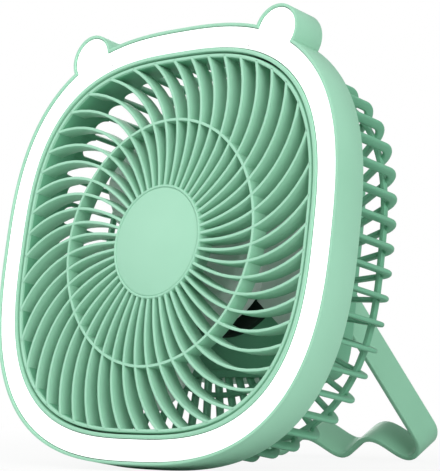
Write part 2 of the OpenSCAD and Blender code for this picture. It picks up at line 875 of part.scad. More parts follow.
front_frame();
light_cover();
led_board();
leds();
front_grille();
hub_cap();
cage_flange();
cage_ribs();
cage_back();
cage_screws();
pod_shell();
pod_cover();
cover_screws();
motor_base();
motor_screws();
bearings();
stator_core();
stator_coils();
motor_shaft();
rotor_can();
rotor_magnets();
impeller_hub();
impeller_blades();
impeller_nut();
battery_cells();
battery_tabs();
battery_tray();
control_board();
board_screws();
switches();
charge_lights();
usb_socket();
fan_button();
light_button();
hinge_bracket();
bracket_screws();
hinge_pin();
pin_caps();
friction_washers();
stand_bail();
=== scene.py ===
import bpy
import bmesh
import json
import math
from mathutils import Matrix, Vector


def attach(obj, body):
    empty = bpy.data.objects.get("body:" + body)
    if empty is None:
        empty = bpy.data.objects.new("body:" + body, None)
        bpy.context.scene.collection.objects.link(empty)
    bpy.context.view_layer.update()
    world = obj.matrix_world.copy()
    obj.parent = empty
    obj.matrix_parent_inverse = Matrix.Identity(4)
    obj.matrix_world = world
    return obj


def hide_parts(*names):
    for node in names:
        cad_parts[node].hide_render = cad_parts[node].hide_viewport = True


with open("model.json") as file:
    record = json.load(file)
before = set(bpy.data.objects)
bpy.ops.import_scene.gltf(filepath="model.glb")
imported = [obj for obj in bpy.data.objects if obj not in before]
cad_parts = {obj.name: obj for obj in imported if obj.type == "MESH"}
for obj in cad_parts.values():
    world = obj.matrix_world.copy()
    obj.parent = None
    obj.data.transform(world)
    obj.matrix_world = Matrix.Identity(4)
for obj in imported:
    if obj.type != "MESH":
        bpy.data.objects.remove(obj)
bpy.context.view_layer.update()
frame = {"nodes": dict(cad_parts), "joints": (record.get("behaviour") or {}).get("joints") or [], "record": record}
print("frame loaded with", len(frame["nodes"]), "nodes")

mm = 0.001
twoPi = 2 * math.pi
weld = 1e-4  # mm, points closer than this are one: rounding parts the ends of a full spin by less
overlap = 0.1  # mm, by which parts of one moulding run into each other

# The fan's own frame, in millimetres: x right, y back from the front lip, z up the face.
fan = {
    "lean": 9.8,  # degrees back from upright
    "wide": 180.0, "high": 178.4, "depth": 16.0,
    "square": 2.72, "ringSquare": 2.83,  # outline and openings: 2 is an ellipse, more is squarer
    "earX": 51.2, "earZ": 81.8, "earRadius": 10.8,
    "lip": 1.8, "channelIn": 10.3, "openingIn": 11.8, "rimIn": 12.6,  # each in from the outline
    "hingeY": 86.6, "hingeZ": 6.8,
}


def standingMatrix():
    lean = math.radians(fan["lean"])
    hinge = next(j for j in frame["joints"] if j["name"] == "stand_hinge")["pos_m"]
    leaned = Matrix.Rotation(-lean, 4, "X") @ Vector((0, fan["hingeY"], fan["hingeZ"]))
    return (Matrix.Translation(Vector(hinge) - leaned * mm)
            @ Matrix.Rotation(-lean, 4, "X") @ Matrix.Scale(mm, 4))


standing = standingMatrix()


# Colours are sRGB hex values, and this alone turns them to linear.
def toLinear(hexColour):
    parts = [int(hexColour[i:i + 2], 16) / 255 for i in (1, 3, 5)]
    return [p / 12.92 if p <= 0.04045 else ((p + 0.055) / 1.055) ** 2.4 for p in parts] + [1]


def addNode(tree, kind, settings=(), values=(), links=()):
    node = tree.nodes.new(kind)
    for key, value in dict(settings).items():
        setattr(node, key, value)
    for key, value in dict(values).items():
        node.inputs[key].default_value = value
    for key, socket in dict(links).items():
        tree.links.new(socket, node.inputs[key])
    return node


def newMaterial(name):
    material = bpy.data.materials.new(name)
    material.use_nodes = True
    tree = material.node_tree
    tree.nodes.clear()
    shader = addNode(tree, "ShaderNodeBsdfPrincipled")
    addNode(tree, "ShaderNodeOutputMaterial", links={"Surface": shader.outputs[0]})
    coords = addNode(tree, "ShaderNodeTexCoord").outputs["Object"]
    return material, tree, shader, coords


def linkFinish(tree, shader, tint, gloss, bump):
    tree.links.new(tint.outputs[2], shader.inputs["Base Color"])
    tree.links.new(gloss.outputs[0], shader.inputs["Roughness"])
    tree.links.new(bump.outputs["Normal"], shader.inputs["Normal"])


plasticLook = {
    "flow": 22, "flowLow": 0.35, "flowHigh": 0.65,  # clouds of colour, about 45 mm across
    "grainLow": 0.3, "grainHigh": 0.7, "glossSpread": 0.05, "bump": 0.5,
    "ior": 1.53,  # that of ABS, and the other plastics are within 0.06 of it
}
metalLook = {"low": 0.3, "high": 0.7, "glossSpread": 0.07, "bump": 0.3, "bumpMm": 0.01}


def mouldedPlastic(name, colour, deep, rough, grainMm, bumpMm, extra=()):
    look = plasticLook
    material, tree, shader, coords = newMaterial(name)
    flow = addNode(tree, "ShaderNodeTexNoise", {}, {"Scale": look["flow"], "Detail": 3}, {"Vector": coords})
    grain = addNode(tree, "ShaderNodeTexNoise", {}, {"Scale": 1 / (grainMm * mm), "Detail": 2},
                    {"Vector": coords})
    share = addNode(tree, "ShaderNodeMapRange", {},
                    {"From Min": look["flowLow"], "From Max": look["flowHigh"]},
                    {"Value": flow.outputs["Fac"]})
    tint = addNode(tree, "ShaderNodeMix", {"data_type": "RGBA"}, {6: toLinear(deep), 7: toLinear(colour)},
                   {0: share.outputs[0]})
    gloss = addNode(tree, "ShaderNodeMapRange", {},
                    {"From Min": look["grainLow"], "From Max": look["grainHigh"],
                     "To Min": rough - look["glossSpread"], "To Max": rough + look["glossSpread"]},
                    {"Value": grain.outputs["Fac"]})
    bump = addNode(tree, "ShaderNodeBump", {}, {"Strength": look["bump"], "Distance": bumpMm * mm},
                   {"Height": grain.outputs["Fac"]})
    linkFinish(tree, shader, tint, gloss, bump)
    for key, value in {"IOR": look["ior"], **dict(extra)}.items():
        shader.inputs[key].default_value = value
    return material


def metal(name, colour, deep, rough, grainMm, stretch=(1, 1, 1)):
    look = metalLook
    material, tree, shader, coords = newMaterial(name)
    place = addNode(tree, "ShaderNodeMapping", {}, {"Scale": stretch}, {"Vector": coords})
    grain = addNode(tree, "ShaderNodeTexNoise", {}, {"Scale": 1 / (grainMm * mm), "Detail": 3},
                    {"Vector": place.outputs[0]})
    share = addNode(tree, "ShaderNodeMapRange", {}, {"From Min": look["low"], "From Max": look["high"]},
                    {"Value": grain.outputs["Fac"]})
    tint = addNode(tree, "ShaderNodeMix", {"data_type": "RGBA"}, {6: toLinear(deep), 7: toLinear(colour)},
                   {0: share.outputs[0]})
    gloss = addNode(tree, "ShaderNodeMapRange", {},
                    {"To Min": rough - look["glossSpread"], "To Max": rough + look["glossSpread"]},
                    {"Value": share.outputs[0]})
    bump = addNode(tree, "ShaderNodeBump", {}, {"Strength": look["bump"], "Distance": look["bumpMm"] * mm},
                   {"Height": grain.outputs["Fac"]})
    linkFinish(tree, shader, tint, gloss, bump)
    shader.inputs["Metallic"].default_value = 1.0
    return material


# The numbers are roughness, the grain's size and its height in mm. A metal's last three are its stretch.
satinSheen = {"Specular IOR Level": 0.28}
# ABS from a finely spark-eroded mould: satin, with soft lights along rounded edges and no sparkle.
# The real grain is about 0.1 mm, and is drawn at 0.9 mm so that it shows.
mintAbs = mouldedPlastic("mintAbsSatin", "#98cbb0", "#92c6aa", 0.45, 0.9, 0.012, satinSheen)
# Painted shade: the band's ABS drawn in a deeper mint for the cage, pod, flange and hinge bracket, which lie
# behind the band and in its shade. It is a little smoother, so that each rib carries a thin light.
mintCagePaintedShade = mouldedPlastic("mintAbsCagePaintedShade", "#70ae8e", "#6aa888", 0.4, 0.9, 0.012, satinSheen)
# Painted shade: the stand's mint is drawn between those two, darker than the band where the fan's body shades the
# stand. It has the satin of the band.
mintStandPaintedShade = mouldedPlastic("mintAbsStandPaintedShade", "#8bc0a3", "#85ba9d", 0.45, 0.9, 0.012, satinSheen)
# Keys from a polished mould: a tighter, brighter reflection than the satin round them, faintly wavy.
mintKey = mouldedPlastic("mintAbsPolishedKey", "#86c0a4", "#80bb9e", 0.3, 1.4, 0.006)
# Polypropylene filled pale grey: smooth and a little waxy, with flow marks about 1.5 mm apart.
bladePp = mouldedPlastic("paleGreyPolypropylene", "#e0e4e2", "#d8dcda", 0.36, 1.5, 0.01)
# Nylon filled with glass: dull and nearly black. Its fibres are 0.2 mm long, and drawn as 0.8 mm.
blackNylon = mouldedPlastic("blackGlassNylon", "#0b1f15", "#08170f", 0.5, 0.8, 0.02)
# Solder mask: glossy and even over the board's weave, which is 0.5 mm and drawn as 2 mm.
greenBoard = mouldedPlastic("greenSolderMask", "#1c5a34", "#174c2c", 0.3, 2.0, 0.01)
whiteBoard = mouldedPlastic("whiteSolderMask", "#eef0ee", "#e6e9e6", 0.35, 2.0, 0.01)
# Shrunk film round the cells: shiny, with soft ripples about 3 mm long.
cellWrap = mouldedPlastic("blueShrinkWrap", "#2f6ea6", "#29639a", 0.28, 3.0, 0.02)
# Machined acetal: grey and slightly greasy, with its 0.2 mm tool marks drawn as 1 mm.
frictionPad = mouldedPlastic("greyAcetalWasher", "#5b605e", "#525755", 0.45, 1.0, 0.01)
# Opal polycarbonate lit from behind: an even white glow under a satin skin.
# The skin's texture is 0.3 mm, and is drawn as 1.2 mm.
opalCover = mouldedPlastic("opalPolycarbonateLit", "#fbfdfc", "#f8fbfa", 0.38, 1.2, 0.006,
                           {"Emission Color": (1, 1, 1, 1), "Emission Strength": 0.55})
# Painted shade: the same opal where no light gets to, drawn pale grey.
opalSkirtPaintedShade = mouldedPlastic("opalPolycarbonateSidePaintedShade", "#c9d0cc", "#c2cac6", 0.45, 1.2, 0.006)
# Phosphor in clear resin over each lamp: glossy pale yellow, with its 0.02 mm grains drawn as 0.8 mm.
ledResin = mouldedPlastic("yellowPhosphorResin", "#f6e9a8", "#f0dd90", 0.25, 0.8, 0.01)
# Frosted acrylic: almost white and shiny, with its 0.1 mm frost drawn as 0.8 mm.
clearLens = mouldedPlastic("frostedAcrylicLens", "#f2f6f4", "#e6ecea", 0.22, 0.8, 0.004)
# Bright zinc plate: pale blue-grey, its reflection mottled by crystals of about 0.5 mm.
zincSteel = metal("zincPlatedSteel", "#c9ccd0", "#aeb2b8", 0.3, 0.5)
# Turned steel: tool lines that draw the light out. They are 0.05 mm apart, and drawn as 0.25 mm.
turnedSteel = metal("turnedSteel", "#d2d4d7", "#b4b7bc", 0.26, 0.25, (6, 1, 1))
# Dark plate on a drawn can: smoky and softly reflective, with a bloom of about 0.6 mm.
canSteel = metal("darkPlatedCan", "#6b6f73", "#5a5e62", 0.34, 0.6)
# Stacked sheets of 0.35 mm, which read as fine stripes.
laminated = metal("laminatedSteel", "#8a8c8e", "#6a6c6e", 0.42, 0.35, (1, 8, 1))
# Enamelled wire of 0.3 mm: warm and glossy, striped along the winding.
copperWire = metal("enamelledCopper", "#c87a48", "#9a5530", 0.3, 0.3, (1, 1, 4))
# Turned brass: yellow with bright rings, which are 0.05 mm apart and drawn as 0.25 mm.
turnedBrass = metal("turnedBrass", "#d8b26a", "#bd9650", 0.27, 0.25, (1, 6, 1))
# Ferrite powder in a binder: matt and grey-black, with its 0.1 mm grain drawn as 0.5 mm.
ferrite = mouldedPlastic("bondedFerrite", "#33353a", "#2a2c30", 0.5, 0.5, 0.02)

slotMaterials = {
    "mint": mintAbs, "mint_deep": mintKey, "diffuser": opalCover, "white_board": whiteBoard,
    "lamp": clearLens, "steel": zincSteel, "black": blackNylon, "lamination": laminated,
    "copper": copperWire, "can": canSteel, "magnet": ferrite, "blade": bladePp,
    "brass": turnedBrass, "cell_wrap": cellWrap, "green_board": greenBoard, "washer": frictionPad,
}
slotOf = {s["node"]: s["material_slot"] for s in frame["record"]["subparts"]}
for nodeName, node in frame["nodes"].items():
    node.data.materials.clear()
    node.data.materials.append(ledResin if nodeName == "leds" else slotMaterials[slotOf[nodeName]])
print("materials made, and given to", len(slotOf), "nodes")


# The shaping functions work in millimetres in the fan's own frame.
def spread(start, stop, count):
    return [start + (stop - start) * i / count for i in range(count)]


def roundBox(halfA, halfB, radius, steps=3):
    points = []
    for a, b, start in ((1, 1, 0), (-1, 1, 90), (-1, -1, 180), (1, -1, 270)):
        for i in range(steps):
            turn = math.radians(start + 90 * i / (steps - 1))
            points.append((a * (halfA - radius) + radius * math.cos(turn),
                           b * (halfB - radius) + radius * math.sin(turn)))
    return points


# A grid is laid over rings of points, so that each two neighbours are joined by a strip of faces.
def wrapRings(bm, rings, closed=True, caps=False):
    count = len(rings[0])
    rows = len(rings) if closed else len(rings) - 1
    grid = bmesh.ops.create_grid(bm, x_segments=count, y_segments=rows, size=1)["verts"]
    for v in grid:
        i, j = round((v.co.x + 1) / 2 * count), round((v.co.y + 1) / 2 * rows)
        v.co = rings[j % len(rings)][i % count]
    bmesh.ops.remove_doubles(bm, verts=grid, dist=weld)
    if caps:
        rims = [e for e in bm.edges if e.is_boundary]
        bmesh.ops.holes_fill(bm, edges=rims, sides=0)


# A station is a spot and the two directions in which the section is drawn there.
def sweep(bm, stations, section):
    rings = [[o + a * u + b * v for a, b in section] for o, u, v in stations]
    wrapRings(bm, rings, closed=False, caps=True)


# The three rings that round an edge: how far the round reaches, and how far its middle is cut in.
def edgeRings(ring, inset, y, reach, cut, inward, back):
    return [ring(inset, y + back * reach), ring(inset + inward * cut, y + back * cut),
            ring(inset + inward * reach, y)]


# A profile holds radius and place along the axis.
def turned(bm, profile, centre=(0, 0, 0), axis="y", steps=48):
    centre = Vector(centre)
    along = Vector((0, 1, 0)) if axis == "y" else Vector((1, 0, 0))
    verts = [bm.verts.new(centre + Vector((0, 0, 1)) * r + along * a) for r, a in profile]
    edges = [bm.edges.new(pair) for pair in zip(verts, verts[1:])]
    bmesh.ops.spin(bm, geom=verts + edges, cent=centre, axis=along, dvec=(0, 0, 0),
                   angle=twoPi, steps=steps, use_merge=True, use_duplicate=False)
    bmesh.ops.remove_doubles(bm, verts=bm.verts[:], dist=weld)


def hoop(bm, inner, outer, y0, y1, frontEdge, backEdge, steps):
    turned(bm, [(inner, y0 + frontEdge), (inner + frontEdge, y0), (outer - frontEdge, y0),
                (outer, y0 + frontEdge), (outer, y1 - backEdge), (outer - backEdge, y1),
                (inner + backEdge, y1), (inner, y1 - backEdge), (inner, y0 + frontEdge)], steps=steps)


def disc(bm, radius, y0, y1, centre=(0, 0), edge=0.3, steps=48, axis="y"):
    spot = (centre[0], 0, centre[1]) if axis == "y" else (0, centre[0], centre[1])
    e = edge * 0.3
    turned(bm, [(0, y0), (radius - edge, y0), (radius - e, y0 + e), (radius, y0 + edge),
                (radius, y1 - edge), (radius - e, y1 - e), (radius - edge, y1), (0, y1)], spot, axis, steps)


def block(bm, low, high, edge, segments):
    low, high = Vector(low), Vector(high)
    made = bmesh.ops.create_cube(bm, size=1, matrix=Matrix.Translation((low + high) / 2)
                                 @ Matrix.Diagonal((*(high - low), 1)))
    edges = list({e for v in made["verts"] for e in v.link_edges})
    bmesh.ops.bevel(bm, geom=edges, offset=edge, segments=segments, affect="EDGES", profile=0.5,
                    material=-1, clamp_overlap=True)


def circle(radius, x=0, z=0, steps=32):
    return [(x + radius * math.cos(t), z + radius * math.sin(t)) for t in spread(0, twoPi, steps)]


def joinPoints(bm, spots):
    verts = [bm.verts.new(spot) for spot in spots]
    return [bm.edges.new((verts[i - 1], verts[i])) for i in range(len(verts))]


def edgeLoop(bm, points, y):
    return joinPoints(bm, [(x, y, z) for x, z in points])


def pierced(bm, outer, holes, y):
    edges = edgeLoop(bm, outer, y)
    for hole in holes:
        edges += edgeLoop(bm, hole, y)
    bmesh.ops.triangle_fill(bm, use_beauty=True, use_dissolve=False, edges=edges, normal=(0, 1, 0))


def sinkLoop(bm, edges, move):
    deep = bmesh.ops.extrude_edge_only(bm, edges=edges)["geom"]
    bmesh.ops.translate(bm, verts=[g for g in deep if isinstance(g, bmesh.types.BMVert)], vec=move)
    return [g for g in deep if isinstance(g, bmesh.types.BMEdge)]


def joinInto(bm, part):
    scrap = bpy.data.meshes.new("scrap")
    part.to_mesh(scrap)
    bm.from_mesh(scrap)
    part.free()
    bpy.data.meshes.remove(scrap)


def newPiece(name, bm, body, material, nodes=(), sharp=38):
    bmesh.ops.remove_doubles(bm, verts=bm.verts[:], dist=weld)
    bmesh.ops.recalc_face_normals(bm, faces=bm.faces[:])
    bm.transform(standing)
    mesh = bpy.data.meshes.new(name)
    bm.to_mesh(mesh)
    bm.free()
    mesh.materials.append(material)
    mesh.shade_smooth()
    mesh.set_sharp_from_angle(angle=math.radians(sharp))
    piece = bpy.data.objects.new(name, mesh)
    bpy.context.scene.collection.objects.link(piece)
    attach(piece, body)
    if nodes:
        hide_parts(*nodes)


def squaredRadius(turn, a, b, n):
    return ((abs(math.cos(turn)) / a) ** n + (abs(math.sin(turn)) / b) ** n) ** (-1 / n)


def atTurn(turn, radius):
    return radius * math.cos(turn), radius * math.sin(turn)


def ringAt(points, y):
    return [Vector((x, y, z)) for x, z in points]


def faceRadius(turn, inset, square):
    return squaredRadius(turn, fan["wide"] / 2 - inset, fan["high"] / 2 - inset, square)


def earPoint(side, inset, turn):
    r = fan["earRadius"] - inset
    return (side * (fan["earX"] + r * math.cos(turn)), fan["earZ"] + r * math.sin(turn))


# Forty halvings find where the ear's circle comes out of the face's outline.
def earMeets(inset, inside, outside):
    for _ in range(40):
        middle = (inside + outside) / 2
        x, z = earPoint(1, inset, middle)
        if math.hypot(x, z) > faceRadius(math.atan2(z, x), inset, fan["square"]):
            outside = middle
        else:
            inside = middle
    return outside


faceSteps = {"side": 30, "ear": 26, "top": 36, "rest": 150}
earOut = math.atan2(fan["earZ"], fan["earX"])


def earedLoop(inset):
    low = earMeets(inset, earOut - math.pi, earOut)
    high = earMeets(inset, earOut + math.pi, earOut)
    lowTurn = math.atan2(*reversed(earPoint(1, inset, low)))
    highTurn = math.atan2(*reversed(earPoint(1, inset, high)))

    def faceArc(start, stop, steps):
        return [atTurn(t, faceRadius(t, inset, fan["square"])) for t in spread(start, stop, steps)]

    points = faceArc(0, lowTurn, faceSteps["side"])
    points += [earPoint(1, inset, t) for t in spread(low, high, faceSteps["ear"])]
    points += faceArc(highTurn, math.pi - highTurn, faceSteps["top"])
    points += [earPoint(-1, inset, t) for t in spread(high, low, faceSteps["ear"])]
    points += faceArc(math.pi - lowTurn, twoPi, faceSteps["rest"])
    return points, lowTurn, highTurn


# The plain rings have a point for each of the eared rings' points, so the two can be joined.
earLow, earHigh = earedLoop(0)[1:]
ringTurns = (spread(0, earLow, faceSteps["side"]) + spread(earLow, earHigh, faceSteps["ear"])
             + spread(earHigh, math.pi - earHigh, faceSteps["top"])
             + spread(math.pi - earHigh, math.pi - earLow, faceSteps["ear"])
             + spread(math.pi - earLow, twoPi, faceSteps["rest"]))


def earedRing(inset, y):
    return ringAt(earedLoop(inset)[0], y)


def plainRing(inset, y, square=fan["ringSquare"]):
    return ringAt([atTurn(t, faceRadius(t, inset, square)) for t in ringTurns], y)


band = {
    "frontLip": 1.15, "channelFloor": 9.6, "floorBack": 11.6,
    "lipEdge": (0.3, 0.09), "lipInnerEdge": (0.25, 0.07), "backEdge": (0.4, 0.12), "openingEdge": (0.35, 0.1),
}
bm = bmesh.new()
opening, channel, thin = fan["openingIn"], fan["channelIn"], band["frontLip"]
wrapRings(bm, [
    earedRing(thin, band["channelFloor"]),
    *edgeRings(earedRing, thin, 0, *band["lipInnerEdge"], -1, 1),
    *edgeRings(earedRing, 0, 0, *band["lipEdge"], 1, 1)[::-1],
    *edgeRings(earedRing, 0, fan["depth"], *band["backEdge"], 1, -1),
    earedRing(fan["lip"], fan["depth"]), earedRing(fan["lip"], band["floorBack"]),
    plainRing(opening, band["floorBack"]),
    *edgeRings(plainRing, opening, 0, *band["openingEdge"], -1, 1),
    *edgeRings(plainRing, channel, 0, *band["openingEdge"], 1, 1)[::-1],
    plainRing(channel, band["channelFloor"])])
newPiece("faceBand", bm, "casing", mintAbs, ["front_frame"])

# Only the cover's front sheet glows. Its skirt does not glow and is drawn pale grey as painted shade, so a dark
# hairline shows between it and the lips.
cover = {"front": 0.4, "sheet": 0.85, "back": 2.4, "gap": 0.3, "crown": ((0, 0.35), (0.3, 0.1), (0.9, 0))}
outerIn, innerIn = band["frontLip"] + cover["gap"], fan["channelIn"] - cover["gap"]
crown = [(0, cover["sheet"])] + [(inset, cover["front"] + drop) for inset, drop in cover["crown"]]
bm = bmesh.new()
wrapRings(bm, [earedRing(outerIn + inset, y) for inset, y in crown]
          + [plainRing(innerIn - inset, y) for inset, y in crown[::-1]])
newPiece("lightCover", bm, "casing", opalCover, ["light_cover"])

bm = bmesh.new()
wrapRings(bm, [earedRing(outerIn, cover["back"]), earedRing(outerIn, cover["sheet"]),
               plainRing(innerIn, cover["sheet"]), plainRing(innerIn, cover["back"])])
newPiece("coverSkirt", bm, "casing", opalSkirtPaintedShade)
print("face band and light cover")


grille = {
    "fins": 48, "finWide": 1.15, "finFront": 0.3, "finDepth": 8.0, "finEdge": 0.13, "stations": 16,
    "sweep": 0.04, "curl": 0.006,  # degrees for each mm out, and their growth
    "phase": -1.9,  # degrees, the first fin's turn
    "hub": 23.4, "finRoot": 0.8, "midRing": 50.4, "midFront": 0.33, "midEdges": (0.1, 0.3),
    "rimWide": 1.5, "rimFront": 0.3, "rimEdge": (0.5, 0.15),
    "flangeIn": 4.0, "flangeFront": 11.7, "flangeBack": 13.6,
    "shadeSheetFront": 1.4, "shadeSheetBack": 13.5, "shadeSheetProud": 0.1, "shadeSheetSunk": 0.3,
}
finBack = grille["finFront"] + grille["finDepth"]


def finSpot(r, start):
    g = grille
    grow = r - g["hub"]
    turn = start + math.radians(g["sweep"] * grow + g["curl"] * grow * grow)
    slope = math.radians(g["sweep"] + 2 * g["curl"] * grow) * r
    out = Vector((math.cos(turn), 0, math.sin(turn)))
    along = (out + slope * Vector((-math.sin(turn), 0, math.cos(turn)))).normalized()
    return out * r, Vector((-along.z, 0, along.x)), turn


# Each round puts the fin's end on the rim at the turn it had there before, and six rounds settle it.
def finEnd(start):
    inset = fan["rimIn"] + grille["rimWide"] / 2
    r = 75.0
    for _ in range(6):
        r = faceRadius(finSpot(r, start)[2], inset, fan["ringSquare"])
    return r


bm = bmesh.new()
section = roundBox(grille["finWide"] / 2, grille["finDepth"] / 2, grille["finEdge"])
finMiddle = Vector((0, grille["finFront"] + grille["finDepth"] / 2, 0))
for i in range(grille["fins"]):
    start = twoPi * i / grille["fins"] + math.radians(grille["phase"])
    first, last = grille["hub"] - grille["finRoot"], finEnd(start)
    stations = []
    for k in range(grille["stations"]):
        spot, side, _ = finSpot(first + (last - first) * k / (grille["stations"] - 1), start)
        stations.append((spot + finMiddle, side, Vector((0, 1, 0))))
    fin = bmesh.new()
    sweep(fin, stations, section)
    joinInto(bm, fin)
newPiece("grilleFins", bm, "casing", mintAbs, ["front_grille"])

bm = bmesh.new()
g, rimOut = grille, fan["rimIn"]
rimIn = rimOut + g["rimWide"]
wrapRings(bm, [
    *edgeRings(plainRing, rimOut, g["rimFront"], *g["rimEdge"], 1, 1),
    *edgeRings(plainRing, rimIn, g["rimFront"], *g["rimEdge"], -1, 1)[::-1],
    plainRing(rimIn, g["flangeBack"]), plainRing(g["flangeIn"], g["flangeBack"], fan["square"]),
    plainRing(g["flangeIn"], g["flangeFront"], fan["square"]), plainRing(rimOut, g["flangeFront"])])
newPiece("grilleRim", bm, "casing", mintAbs)

# Painted shade: a sheet in the cage's darker mint covers the opening's inner wall, so that it reads as shaded.
bm = bmesh.new()
sunk, proud = rimIn - g["shadeSheetSunk"], rimIn + g["shadeSheetProud"]
wrapRings(bm, [plainRing(sunk, g["shadeSheetFront"]), plainRing(proud, g["shadeSheetFront"]),
               plainRing(proud, g["shadeSheetBack"]), plainRing(sunk, g["shadeSheetBack"])])
newPiece("openingShadeSheet", bm, "casing", mintCagePaintedShade)

bm = bmesh.new()
hoop(bm, g["midRing"] - g["finWide"] / 2, g["midRing"] + g["finWide"] / 2, g["midFront"], finBack,
     *g["midEdges"], 144)
newPiece("grilleRing", bm, "casing", mintAbs)

# The rim of the hub and the edge of its cap are given as places in from the radius, and back.
hub = {
    "recess": 1.6, "rim": ((1.2, 1.6), (1.2, 0.35), (1.05, 0.1), (0.8, 0), (0.6, 0), (0.2, 0.12), (0, 0.5)),
    "skin": 2.0, "floorBack": 4.0, "backEdge": 0.3,
}
cap = {"in": 1.25, "edge": ((0.3, 0.2), (0.08, 0.26), (0, 0.4)), "pegRadius": 3.0, "pegBack": 3.6}
bm = bmesh.new()
h, inside, e = grille["hub"], grille["hub"] - hub["skin"], hub["backEdge"]
turned(bm, [(0, hub["recess"]), *((h - inset, y) for inset, y in hub["rim"]),
            (h, finBack - e), (h - e, finBack), (inside + e, finBack), (inside, finBack - e),
            (inside, hub["floorBack"]), (0, hub["floorBack"])], steps=96)
newPiece("grilleHub", bm, "casing", mintAbs)

bm = bmesh.new()
c, peg = h - cap["in"], cap["pegRadius"]
turned(bm, [(0, cap["edge"][0][1]), *((c - inset, y) for inset, y in cap["edge"]),
            (c, hub["recess"]), (peg, hub["recess"]), (peg - 0.1, cap["pegBack"]), (0, cap["pegBack"])],
       steps=96)
newPiece("hubCap", bm, "casing", mintAbs, ["hub_cap"])
print("front grille")


cage = {
    "wide": 166.6, "high": 165.0, "square": 2.75, "depth": 52.0,
    "ribs": 52, "ribT": 1.9, "ribH": 4.0, "ribEdge": 0.9, "ribFront": 14.4,
    "corner": 8.0, "beforeCorner": 12.0,
    "lead": 9.0,  # degrees by which each rib points past the middle
    "phase": 0.4,  # the first rib's place, in pitches
    "ringOuter": 0.927, "ringInner": 0.904, "ringT": 2.6, "ringEdge": (0.4, 0.1),
    "thinR": 55.4, "thinT": 2.1, "collar": 1.5, "collarFront": 46.7, "collarBack": 51.6, "collarEdge": 0.3,
    "flangeFront": 13.6, "flangeGap": 0.25, "flangeEdge": 0.3, "lapIn": 1.2,
    "wall": 5.0, "wallFoot": 0.5, "wallSkin": 0.5, "wallEdge": 0.4, "wallSteps": 14,
    "screwGap": 0.72,  # share of a slot that is left open round a screw head
    "screwTurns": (30, 90, 150, 210, 270, 330),
}
pod = {
    "half": 45.5, "square": 8.0, "wall": 2.0, "front": 47.5, "seam": 65.5, "seamGap": 0.1, "back": 75.5,
    "frontEdge": (1.2, 0.35), "seamEdge": 0.35, "lapEdge": (0.45, 0.12, 0.1), "edge": 1.6, "backIn": 0.5,
    "tubeHole": 4.7, "post": 37.2, "screwHole": 2.6, "screwFloor": 4.0,
    "buttonX": 14.0, "buttonZ": 28.0, "buttonR": 5.5, "buttonGap": 0.3,
    "pipes": 4, "pipeZ": 36.0, "pipePitch": 4.5, "pipeHole": 1.05,
}
cageTurns = spread(0, twoPi, 208)
podTurns = spread(0, twoPi, 160)


def cageRadius(turn, share=1.0, inset=0.0):
    return squaredRadius(turn, cage["wide"] / 2 * share - inset, cage["high"] / 2 * share - inset,
                         cage["square"])


def cageRing(inset, y, share=1.0, turns=cageTurns):
    return ringAt([atTurn(t, cageRadius(t, share, inset)) for t in turns], y)


def podRadius(turn, inset=0.0):
    half = pod["half"] - inset
    return squaredRadius(turn, half, half, pod["square"])


def podLoop(inset):
    return [atTurn(t, podRadius(t, inset)) for t in podTurns]


def podRing(inset, y):
    return ringAt(podLoop(inset), y)


# A rib runs straight back, turns the corner, and runs in across the back to the collar.
def ribStations(turn):
    c = cage
    r = cageRadius(turn)
    lead = math.radians(c["lead"])
    inner = -c["collar"] / 2
    drift = math.asin(r * math.sin(lead) / podRadius(turn, inner)) - lead
    reach = podRadius(turn - drift, inner)
    inward = r * math.cos(lead) - math.sqrt(reach ** 2 - (r * math.sin(lead)) ** 2)
    origin = Vector((r * math.cos(turn), 0, r * math.sin(turn)))
    inn = Vector((-math.cos(turn + lead), 0, -math.sin(turn + lead)))
    back = Vector((0, 1, 0))
    half, bend = c["ribH"] / 2, c["corner"]
    side = inn.cross(back)
    path = [(half, c["ribFront"], 0), (half, c["depth"] - bend - c["beforeCorner"], 0)]
    for k in range(9):
        a = math.radians(90 * k / 8)
        path.append((bend - (bend - half) * math.cos(a), c["depth"] - bend + (bend - half) * math.sin(a), a))
    path += [(x, c["depth"] - half, math.pi / 2) for x in ((bend + inward) / 2, inward)]
    return [(origin + inn * x + back * y, side, inn * math.cos(a) - back * math.sin(a)) for x, y, a in path]


bm = bmesh.new()
section = roundBox(cage["ribT"] / 2, cage["ribH"] / 2, cage["ribEdge"], 4)
for i in range(cage["ribs"]):
    rib = bmesh.new()
    sweep(rib, ribStations(twoPi * (i + cage["phase"]) / cage["ribs"]), section)
    joinInto(bm, rib)
newPiece("cageRibs", bm, "casing", mintCagePaintedShade, ["cage_ribs", "cage_back"])


def outerTie(inset, y):
    return cageRing(inset, y, cage["ringOuter"])


def innerTie(inset, y):
    return cageRing(inset, y, cage["ringInner"])


bm = bmesh.new()
tieFront = cage["depth"] - cage["ribH"] - cage["ringT"] / 2
tieBack = tieFront + cage["ringT"]
wrapRings(bm, [*edgeRings(outerTie, 0, tieFront, *cage["ringEdge"], 1, 1)[::-1],
               *edgeRings(outerTie, 0, tieBack, *cage["ringEdge"], 1, -1),
               *edgeRings(innerTie, 0, tieBack, *cage["ringEdge"], -1, -1)[::-1],
               *edgeRings(innerTie, 0, tieFront, *cage["ringEdge"], -1, 1)])
newPiece("cageRing", bm, "casing", mintCagePaintedShade)

bm = bmesh.new()
hoop(bm, cage["thinR"] - cage["thinT"], cage["thinR"], tieFront, tieBack,
     cage["ringEdge"][0], cage["ringEdge"][0], 120)
newPiece("cageThinRing", bm, "casing", mintCagePaintedShade)

